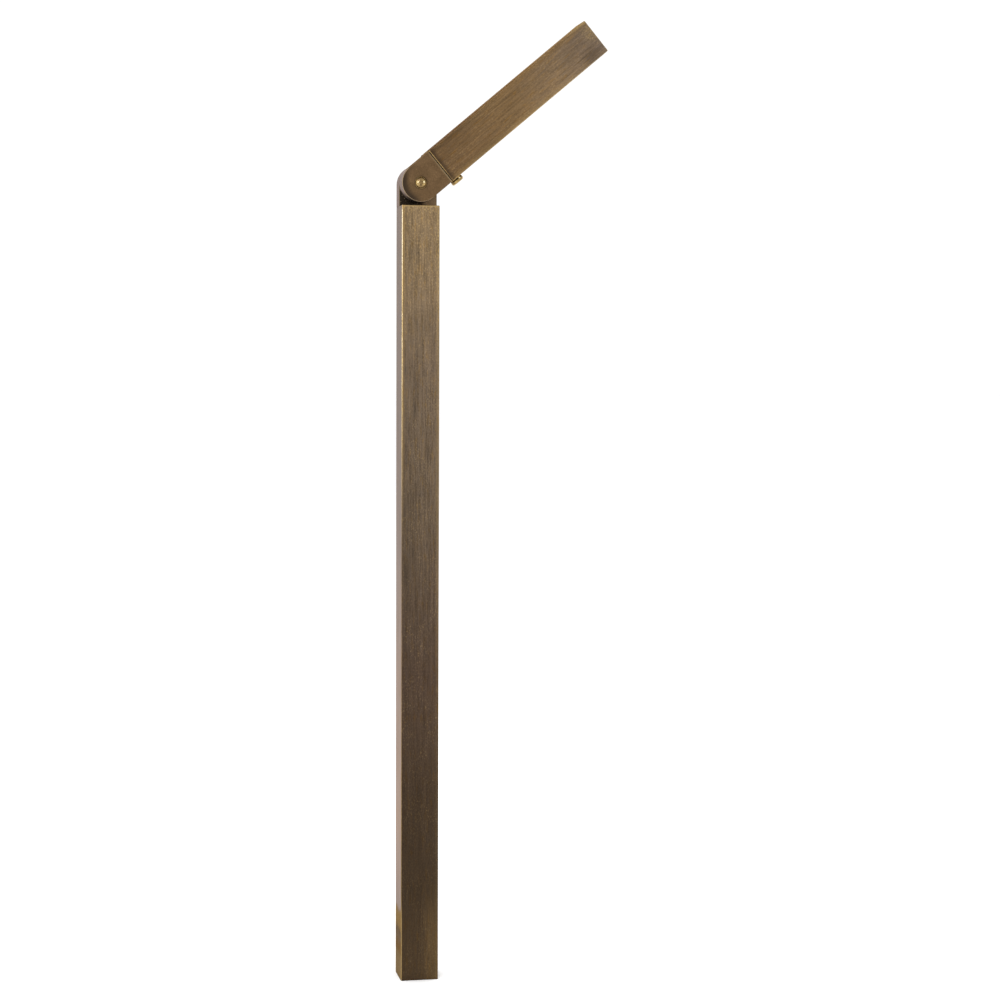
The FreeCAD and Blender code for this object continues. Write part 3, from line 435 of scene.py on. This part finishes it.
def turned_brass(name, centre, axis, head, tops=None, tones=((0.68, 0.49, 0.21), (0.36, 0.235, 0.09)), rim=None, under=None, highlight_spots=(), shade_spots=()):
    """Bright turned brass, with lathe rings about the piece's axis and painted shade in its socket.

    tops is the place along the axis where the socket starts and where its painted shade is full; rim is the height
    from the middle at which painted shade on the head's top and bottom starts and where it is full; under is the
    middle of the groove below a pan head, along the axis; then come places of painted highlight and of painted shade,
    two offsets and a radius each.
    """
    g = Mat(name, Metallic=1.0)
    P, x, y, z = g.coords(head)
    xyz = [g.f("SUBTRACT", c, o) if o else c for c, o in zip((x, y, z), centre)]
    a, b = [xyz[i] for i in range(3) if i != axis]
    r = g.f("SQRT", g.f("ADD", g.f("MULTIPLY", a, a), g.f("MULTIPLY", b, b)))
    n = g.noise(P, (1.3, 1.3, 1.3), 3.0, 0.6)
    rings = g.f("SINE", g.f("MULTIPLY", g.f("ADD", r, g.f("MULTIPLY", n, 0.12)), 32.0))
    col = g.mix(g.step(n, 0.35, 0.72), *tones)
    # painted shade on the head's top and bottom
    if rim:
        col = g.mix(g.f("MULTIPLY", g.step(g.f("ABSOLUTE", xyz[2]), *rim), 0.75), col, (0.120, 0.076, 0.036))
    # painted highlights and painted shade in given places
    for places, tone in ((shade_spots, (0.115, 0.074, 0.036)), (highlight_spots, (0.92, 0.78, 0.46))):
        for pa, pb, pr in places:
            da, db = g.f("SUBTRACT", a, pa), g.f("SUBTRACT", b, pb)
            near = g.f("SQRT", g.f("ADD", g.f("MULTIPLY", da, da), g.f("MULTIPLY", db, db)))
            col = g.mix(g.step(near, pr, pr * 0.5), col, tone)
    # painted shade in the socket
    if tops:
        sunk = g.f("MULTIPLY", g.step(xyz[axis], *tops), g.step(r, 1.85, 1.65))
        col = g.mix(g.f("MULTIPLY", sunk, 0.8), col, (0.180, 0.120, 0.055))
    if under:
        # painted shade in the groove, heavier to one side; one end painted lighter and the other darker; and a painted
        # highlight beside the groove
        off = g.f("SUBTRACT", xyz[axis], under)
        worn = g.step(b, -2.6, -3.6)
        col = g.mix(worn, col, (0.52, 0.39, 0.19))
        col = g.mix(g.f("MULTIPLY", g.step(b, 2.6, 3.4), 0.6), col, (0.150, 0.095, 0.034))
        side = g.f("MULTIPLY", g.step(b, -3.5, -2.9), g.step(b, 1.2, 0.4))
        groove = g.f("MULTIPLY", g.step(g.f("ABSOLUTE", off), 0.55, 0.30), side)
        col = g.mix(g.f("MULTIPLY", groove, 0.90), col, (0.030, 0.021, 0.013))
        brown = g.f("MULTIPLY", g.step(b, 2.4, 2.8), g.step(b, 3.7, 3.3))
        col = g.mix(g.f("MULTIPLY", brown, g.f("MULTIPLY", g.step(off, 1.3, 0.7), 0.75)), col, (0.100, 0.060, 0.022))
        db = g.f("SUBTRACT", b, 1.7)
        do = g.f("ADD", off, 0.2)
        spot = g.f("SQRT", g.f("ADD", g.f("MULTIPLY", do, do), g.f("MULTIPLY", db, db)))
        col = g.mix(g.step(spot, 1.05, 0.6), col, (1.0, 0.92, 0.66))
    g.set("Base Color", col)
    rough = add(g, 0.18, g.f("MULTIPLY", n, 0.16))
    if under:
        rough = g.f("ADD", rough, g.f("MULTIPLY", worn, 0.3))
    g.set("Roughness", rough)
    g.set("Normal", g.bump(add(g, g.f("MULTIPLY", rings, 0.2), n), 0.02, 0.5))
    return g.m


def flat_screw_brass(name):
    """Brass screw heads, tarnished like the faces round them."""
    g = Mat(name, Metallic=1.0)
    P, x, y, z = g.coords()
    n = g.noise(P, (0.9, 0.9, 0.9), 4.0, 0.6)
    lines = g.noise(P, (5.0, 0.6, 0.6), 2.0, 0.5)
    g.set("Base Color", g.mix(g.step(n, 0.3, 0.7), (0.40, 0.28, 0.12), (0.22, 0.14, 0.065)))
    g.set("Roughness", add(g, 0.28, g.f("MULTIPLY", n, 0.2)))
    g.set("Normal", g.bump(lines, 0.02, 0.4))
    return g.m


def rubber(name, base=(0.007, 0.0068, 0.0066)):
    g = Mat(name, Metallic=0.0)
    g.p.inputs["Specular IOR Level"].default_value = 0.1
    P, x, y, z = g.coords()
    n = g.noise(P, (2.2, 2.2, 2.2), 3.0, 0.6)
    big = g.noise(P, (0.25, 0.25, 0.25), 2.0, 0.5)
    g.set("Base Color", g.mix(big, base, tuple(c * 1.9 for c in base)))
    g.set("Roughness", add(g, 0.58, g.f("MULTIPLY", n, 0.25)))
    g.set("Normal", g.bump(n, 0.04, 0.5))
    return g.m


def sleeve(name, side, head):
    """Pair of insulated leads, one dark and one red-brown; side tells which."""
    g = Mat(name, Metallic=0.0)
    g.p.inputs["Specular IOR Level"].default_value = 0.45
    P, x, y, z = g.coords(head)
    if side == "x":
        s = x
    elif side == "y":
        s = y
    else:
        s = g.f("SUBTRACT", x, g.span(z, 36.6, 41.6, 0.0, -6.0))
    n = g.noise(P, (0.5, 0.5, 0.5), 3.0, 0.6)
    pick = g.step(s, -0.05, 0.05)
    col = g.mix(pick, (0.23, 0.025, 0.018), (0.020, 0.019, 0.019))
    g.set("Base Color", g.mix(g.f("MULTIPLY", n, 0.3), col, (0.10, 0.085, 0.075)))
    g.set("Roughness", add(g, 0.36, g.f("MULTIPLY", n, 0.18)))
    g.set("Normal", g.bump(n, 0.03, 0.4))
    return g.m


def aluminium(name):
    """Extruded channel, drawn lines along it."""
    g = Mat(name, Metallic=1.0)
    P, x, y, z = g.coords(True)
    line = g.noise(P, (3.0, 3.0, 0.03), 3.0, 0.6)
    n = g.noise(P, (0.12, 0.12, 0.12), 3.0, 0.6)
    g.set("Base Color", g.shade(g.mix(n, (0.36, 0.365, 0.375), (0.47, 0.475, 0.48)), g.span(line, 0.3, 0.7, 0.88, 1.12)))
    g.set("Specular Tint", (0.55, 0.555, 0.565))
    g.set("Roughness", add(g, 0.26, g.f("MULTIPLY", line, 0.16)))
    g.set("Normal", g.bump(line, 0.02, 0.5))
    return g.m


def board(name):
    """White solder mask over copper, the tracks standing a little proud of it."""
    g = Mat(name, Metallic=0.0)
    P, x, y, z = g.coords(True)
    ay = g.f("ABSOLUTE", y)
    rail = g.f("MULTIPLY", g.step(ay, 2.55, 2.75), g.step(ay, 4.75, 4.55))
    pitch = g.f("PINGPONG", g.f("SUBTRACT", z, 46.0), 6.5)
    link = g.f("MULTIPLY", g.step(pitch, 2.6, 2.4), g.step(ay, 4.75, 4.55))
    track = g.f("MAXIMUM", rail, link)
    n = g.noise(P, (1.5, 1.5, 1.5), 3.0, 0.6)
    col = g.mix(track, (0.66, 0.67, 0.65), (0.80, 0.81, 0.79))
    bare = g.step(ay, 5.32, 5.44)
    col = g.mix(bare, col, (0.40, 0.34, 0.24))
    col = g.mix(g.f("MULTIPLY", n, 0.12), col, (0.50, 0.49, 0.45))
    g.set("Base Color", col)
    g.set("Roughness", add(g, 0.34, g.f("MULTIPLY", n, 0.15)))
    g.set("Normal", g.bump(add(g, track, g.f("MULTIPLY", n, 0.15)), 0.04, 0.7))
    return g.m


def plain(name, a, b, by, rough, vary, metallic=0.0, mm=0.03, head=True, ior_level=0.5):
    """Two tones that wander into each other, with matching roughness and relief."""
    g = Mat(name, Metallic=metallic)
    g.p.inputs["Specular IOR Level"].default_value = ior_level
    P, x, y, z = g.coords(head)
    n = g.noise(P, by, 4.0, 0.6, 0.2)
    g.set("Base Color", g.mix(g.step(n, 0.3, 0.7), a, b))
    g.set("Roughness", add(g, rough, g.f("MULTIPLY", n, vary)))
    g.set("Normal", g.bump(n, mm, 0.5))
    return g.m


def frosted(name):
    """Frosted lens: milky, with a fine etched surface."""
    g = Mat(name, Metallic=0.0)
    g.p.inputs["IOR"].default_value = 1.49
    g.p.inputs["Transmission Weight"].default_value = 0.72
    P, x, y, z = g.coords(True)
    n = g.noise(P, (4.0, 4.0, 4.0), 3.0, 0.65)
    big = g.noise(P, (0.08, 0.08, 0.05), 2.0, 0.5)
    g.set("Base Color", g.mix(big, (0.86, 0.87, 0.86), (0.95, 0.955, 0.95)))
    g.set("Roughness", add(g, 0.42, g.f("MULTIPLY", n, 0.16)))
    g.set("Normal", g.bump(n, 0.02, 0.6))
    return g.m


def wear(node, material):
    """Every material slot of a frame node gets this material."""
    o = nodes[node]
    if not o.material_slots:
        o.data.materials.append(material)
    for s in o.material_slots:
        s.material = material


stem_brass = tube_brass("stem_brass", False)
head_brass = tube_brass("head_brass", True)
stem_cast = cast_brass("stem_cast", False)
head_cast = cast_brass("head_cast", True)
black_rubber = rubber("black_rubber")
grey_rubber = rubber("grey_rubber", (0.040, 0.040, 0.039))
screw_steel = plain("screw_steel", (0.50, 0.50, 0.49), (0.66, 0.655, 0.64), (0.9, 0.9, 0.9), 0.22, 0.14, 1.0, 0.01)

wear("stem_tube", stem_brass)
wear("head_tube", head_brass)
wear("head_end_cap", head_brass)
wear("stem_knuckle", stem_cast)
wear("head_knuckle", head_cast)
wear("base_plug", stem_cast)
wear(
    "pivot_screw",
    turned_brass("pivot_brass", (0, 0, PIVOT_Z), 1, False, (-13.3, -12.9), ((0.53, 0.375, 0.155), (0.26, 0.17, 0.065)), (0.7, 2.6), highlight_spots=((2.0, 0.4, 0.9), (-2.1, 0.2, 0.7)), shade_spots=((-1.2, 1.6, 1.3), (-0.2, -1.5, 1.0))),
)
wear(
    "retaining_screw",
    turned_brass("retaining_brass", (0, 0, 22.2), 0, True, (16.1, 15.7), ((0.36, 0.25, 0.098), (0.25, 0.168, 0.064)), None, 13.95),
)
wear("retaining_washer", turned_brass("washer_brass", (0, 0, 22.2), 0, True))
wear("stem_screws", flat_screw_brass("rear_screw_brass"))
wear("spring_washer", plain("spring_bronze", (0.300, 0.205, 0.095), (0.400, 0.280, 0.135), (1.2, 1.2, 1.2), 0.34, 0.2, 1.0, 0.01, head=False))
wear("friction_washer", plain("fibre", (0.17, 0.085, 0.04), (0.25, 0.13, 0.06), (1.4, 1.4, 1.4), 0.6, 0.2))
wear("knuckle_oring", black_rubber)
wear("seam_gasket", black_rubber)
wear("base_grommet", black_rubber)
wear("lead_bush", grey_rubber)
wear("lens_gasket", grey_rubber)
wear("stem_lead", sleeve("stem_sleeve", "x", False))
wear("hinge_lead_loop", sleeve("loop_sleeve", "y", True))
wear("head_lead", sleeve("head_sleeve", "bend", True))
wear("led_lead", sleeve("led_sleeve", "y", True))
wear("led_carrier", aluminium("carrier_aluminium"))
wear("led_board", board("board_white"))
wear("led_chips", plain("led_package", (0.72, 0.72, 0.69), (0.80, 0.80, 0.77), (0.8, 0.8, 0.8), 0.35, 0.12))
wear("board_screws", screw_steel)
wear("carrier_screws", screw_steel)
wear("driver_pad", plain("thermal_pad", (0.30, 0.33, 0.37), (0.36, 0.39, 0.43), (1.2, 1.2, 1.2), 0.7, 0.2, mm=0.06))
wear("driver_module", plain("driver_case", (0.018, 0.018, 0.019), (0.030, 0.030, 0.031), (2.0, 2.0, 2.0), 0.42, 0.2, mm=0.04))
wear("lens", frosted("frosted_lens"))


# added pieces --------------------------------------------------------------------------
def piece(name, bm, body, material, matrix=None, smooth=True):
    """Finished mesh in millimetres, placed in its vertices, riding on a body."""
    bmesh.ops.recalc_face_normals(bm, faces=bm.faces)
    me = bpy.data.meshes.new(name)
    bm.to_mesh(me)
    bm.free()
    me.transform((matrix or Matrix.Identity(4)) @ Matrix.Scale(MM, 4))
    if smooth:
        me.shade_smooth()
    me.materials.append(material)
    o = bpy.data.objects.new(name, me)
    scene.collection.objects.link(o)
    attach(o, body)
    return o


def ring_of(bm, points):
    return [bm.verts.new(p) for p in points]


def bridge(bm, a, b):
    n = len(a)
    return [bm.faces.new((a[i], a[(i + 1) % n], b[(i + 1) % n], b[i])) for i in range(n)]


# plug in the foot with its real female thread, 14 turns to the inch
def threaded_plug():
    bm = bmesh.new()
    n, pitch, minor, depth, deep, tall = 96, 25.4 / 14, 9.525, 0.95, 16.0, 26.0
    ang = [2 * math.pi * i / n for i in range(n)]
    square = [(11.0 / max(abs(math.cos(t)), abs(math.sin(t)))) for t in ang]

    def circle(r, z):
        return ring_of(bm, [(r * math.cos(t), r * math.sin(t), z) for t in ang])

    def outline(z):
        return ring_of(bm, [(s * math.cos(t), s * math.sin(t), z) for t, s in zip(ang, square)])

    rows = int(deep / (pitch / 12))
    prev = foot = outline(0.0)
    for k in range(rows + 1):
        z = deep * k / rows
        pts = []
        for t in ang:
            u = (z / pitch - t / (2 * math.pi)) % 1.0
            h = min(1.0, max(0.0, 1.3 * (1 - abs(2 * u - 1)) - 0.15))
            h *= min(1.0, max(0.0, (deep - 1.0 - z) / pitch))
            r = max(minor + depth * h, min(10.55, 10.55 - z * 1.1))
            pts.append((r * math.cos(t), r * math.sin(t), z))
        cur = ring_of(bm, pts)
        bridge(bm, prev, cur)
        prev = cur
    for r, z in ((4.2, deep), (4.2, tall)):
        cur = circle(r, z)
        bridge(bm, prev, cur)
        prev = cur
    top = outline(tall)
    bridge(bm, prev, top)
    bridge(bm, top, foot)
    return bm


o = piece("base_plug_threaded", threaded_plug(), "stem", cast_brass("plug_cast", False), smooth=False)
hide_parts("base_plug")


# phosphor in each LED's cup
def phosphor():
    bm = bmesh.new()
    for k in range(8):
        z0 = 46.0 + 13.0 * k
        rows = []
        for r, x in ((0.98, 2.66), (1.22, 2.88), (0.95, 2.925), (0.6, 2.955), (0.25, 2.968)):
            rows.append(ring_of(bm, [(x, r * math.cos(i * math.pi / 12), z0 + r * math.sin(i * math.pi / 12)) for i in range(24)]))
        for a, b in zip(rows, rows[1:]):
            bridge(bm, a, b)
        bm.faces.new(rows[0])
        bm.faces.new(rows[-1])
    return bm


piece(
    "led_phosphor_domes",
    phosphor(),
    "head",
    plain("phosphor", (0.78, 0.60, 0.10), (0.84, 0.68, 0.16), (2.0, 2.0, 2.0), 0.25, 0.15, mm=0.02),
    HEAD,
)


# solder: a fillet at both ends of each LED, and one blob on each lead
def blob(bm, cx, cy, cz, rx, ry, rz, turns=16, rows=6):
    """Half an ellipsoid standing on the board, closed underneath."""
    base = None
    prev = None
    for k in range(rows):
        t = math.pi / 2 * k / rows
        cur = ring_of(
            bm,
            [
                (
                    cx + rx * math.sin(t),
                    cy + ry * math.cos(t) * math.cos(2 * math.pi * i / turns),
                    cz + rz * math.cos(t) * math.sin(2 * math.pi * i / turns),
                )
                for i in range(turns)
            ],
        )
        if prev:
            bridge(bm, prev, cur)
        else:
            base = cur
        prev = cur
    tip = bm.verts.new((cx + rx, cy, cz))
    for i in range(turns):
        bm.faces.new((prev[i], prev[(i + 1) % turns], tip))
    bm.faces.new(base)


def solder():
    bm = bmesh.new()
    for k in range(8):
        for s in (-1, 1):
            blob(bm, 2.1, 0.0, 46.0 + 13.0 * k + s * 1.55, 0.42, 1.15, 0.55)
    for s in (-1, 1):
        blob(bm, 2.1, s * 1.75, 46.0 + 13.0 * 4.5, 0.75, 1.35, 1.0)
    return bm


piece(
    "led_solder",
    solder(),
    "head",
    plain("solder", (0.55, 0.55, 0.56), (0.70, 0.70, 0.71), (2.2, 2.2, 2.2), 0.20, 0.2, 1.0, 0.02),
    HEAD,
)


# driver: a tray with a rim, filled with compound that creeps up its walls
def rounded(bm, hy, hz, r, x, cy=0.0, cz=70.0, k=6):
    pts = []
    for sy, sz, start in ((1, 1, 0), (-1, 1, 90), (-1, -1, 180), (1, -1, 270)):
        for i in range(k + 1):
            a = math.radians(start + 90 * i / k)
            pts.append((x, cy + sy * (hy - r) + r * math.cos(a), cz + sz * (hz - r) + r * math.sin(a)))
    return ring_of(bm, pts)


def stack(bm, loops):
    for a, b in zip(loops, loops[1:]):
        bridge(bm, a, b)
    bm.faces.new(loops[0])
    bm.faces.new(loops[-1])


def driver_tray():
    bm = bmesh.new()
    stack(
        bm,
        [
            rounded(bm, hy, hy + 16.5, r, x)
            for hy, r, x in (
                (7.2, 0.6, -2.0),
                (7.5, 0.8, -2.3),
                (7.5, 0.8, -9.7),
                (7.3, 0.7, -10.0),
                (6.7, 0.6, -10.0),
                (6.5, 0.6, -9.8),
                (6.5, 0.6, -8.4),
            )
        ],
    )
    # collars where the leads come out of the end walls
    for cy, hy, cx, hx, z0, z1 in ((-4.2, 1.7, -6.0, 2.5, 46.2, 45.1), (0.0, 1.9, -5.5, 1.2, 93.8, 94.9)):
        rows = []
        for z, less in ((z0, 0.0), (0.3 * z0 + 0.7 * z1, 0.0), (z1, 0.3)):
            row = []
            for sy, sx, start in ((1, 1, 0), (-1, 1, 90), (-1, -1, 180), (1, -1, 270)):
                for i in range(6):
                    a = math.radians(start + 90 * i / 5)
                    row.append((cx + sx * (hx - 0.8) + (0.8 - less) * math.sin(a), cy + sy * (hy - 0.8) + (0.8 - less) * math.cos(a), z))
            rows.append(ring_of(bm, row))
        stack(bm, rows)
    return bm


def driver_fill():
    bm = bmesh.new()
    stack(
        bm,
        [
            rounded(bm, hy, hy + 16.5, r, x)
            for hy, r, x in ((6.48, 0.58, -8.42), (6.48, 0.58, -9.5), (6.3, 0.55, -9.3), (6.0, 0.5, -9.16), (5.4, 0.5, -9.08), (4.4, 0.5, -9.05))
        ],
    )
    return bm


o = piece(
    "driver_tray",
    driver_tray(),
    "head",
    plain("driver_moulding", (0.026, 0.026, 0.028), (0.040, 0.040, 0.042), (2.0, 2.0, 2.0), 0.46, 0.2, mm=0.05),
    HEAD,
    smooth=False,
)
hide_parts("driver_module")
piece(
    "driver_potting",
    driver_fill(),
    "head",
    plain("potting", (0.012, 0.013, 0.016), (0.022, 0.023, 0.027), (0.35, 0.35, 0.35), 0.16, 0.14, mm=0.12),
    HEAD,
)


# stage ---------------------------------------------------------------------------------
bm = bmesh.new()
bmesh.ops.create_grid(bm, x_segments=1, y_segments=1, size=40.0)
me = bpy.data.meshes.new("floor")
bm.to_mesh(me)
bm.free()
floor = bpy.data.objects.new("floor", me)
floor.location = (0, 0, -0.0002)
g = Mat("floor_pale", Roughness=0.75)
g.p.inputs["Specular IOR Level"].default_value = 0.1
P, x, y, z = g.coords()
g.set("Base Color", g.mix(g.noise(P, (0.004, 0.004, 0.004), 2.0), (0.955, 0.955, 0.955), (0.975, 0.975, 0.975)))
me.materials.append(g.m)
scene.collection.objects.link(floor)

world = bpy.data.worlds.new("studio")
world.use_nodes = True
world.node_tree.nodes["Background"].inputs["Color"].default_value = (1, 1, 1, 1)
world.node_tree.nodes["Background"].inputs["Strength"].default_value = 1.06
scene.world = world


def area(name, at, aim, size, power, colour=(1, 1, 1)):
    li = bpy.data.lights.new(name, "AREA")
    li.shape = "RECTANGLE"
    li.size, li.size_y = size
    li.energy = power
    li.color = colour
    o = bpy.data.objects.new(name, li)
    o.location = at
    o.rotation_mode = "QUATERNION"
    o.rotation_quaternion = (Vector(aim) - Vector(at)).to_track_quat("-Z", "Y")
    o.visible_camera = False
    scene.collection.objects.link(o)
    return o


area("key", (-0.7, -1.6, 1.7), (0.02, 0, 0.4), (0.9, 0.9), 16)
area("left_panel", (-1.5, -0.25, 0.75), (0, 0, 0.6), (0.8, 1.0), 9)
area("right_fill", (1.7, 1.0, 1.1), (0.15, 0.05, 0.0), (1.2, 0.8), 10)
area("floor_wash", (0.0, 2.4, 2.4), (-0.1, 1.5, 0.0), (2.5, 2.0), 26)

scene.view_settings.view_transform = "Standard"
scene.view_settings.look = "None"

# camera --------------------------------------------------------------------------------
yaw, pitch, roll = (math.radians(a) for a in (11.122, -3.271, 0.226))
fw = Vector((math.sin(yaw) * math.cos(pitch), math.cos(yaw) * math.cos(pitch), math.sin(pitch)))
right = fw.cross(Vector((0, 0, 1))).normalized()
up = right.cross(fw)
r2 = math.cos(roll) * right + math.sin(roll) * up
u2 = -math.sin(roll) * right + math.cos(roll) * up
cam = bpy.data.cameras.new("camera")
cam.sensor_fit = "HORIZONTAL"
cam.sensor_width = 36.0
cam.lens = 82.66
cam.clip_start, cam.clip_end = 0.01, 100.0
co = bpy.data.objects.new("camera", cam)
co.matrix_world = Matrix(
    (
        (r2.x, u2.x, -fw.x, -0.2432),
        (r2.y, u2.y, -fw.y, -1.5252),
        (r2.z, u2.z, -fw.z, 0.4126),
        (0, 0, 0, 1),
    )
)
scene.collection.objects.link(co)
scene.camera = co

bpy.context.view_layer.update()
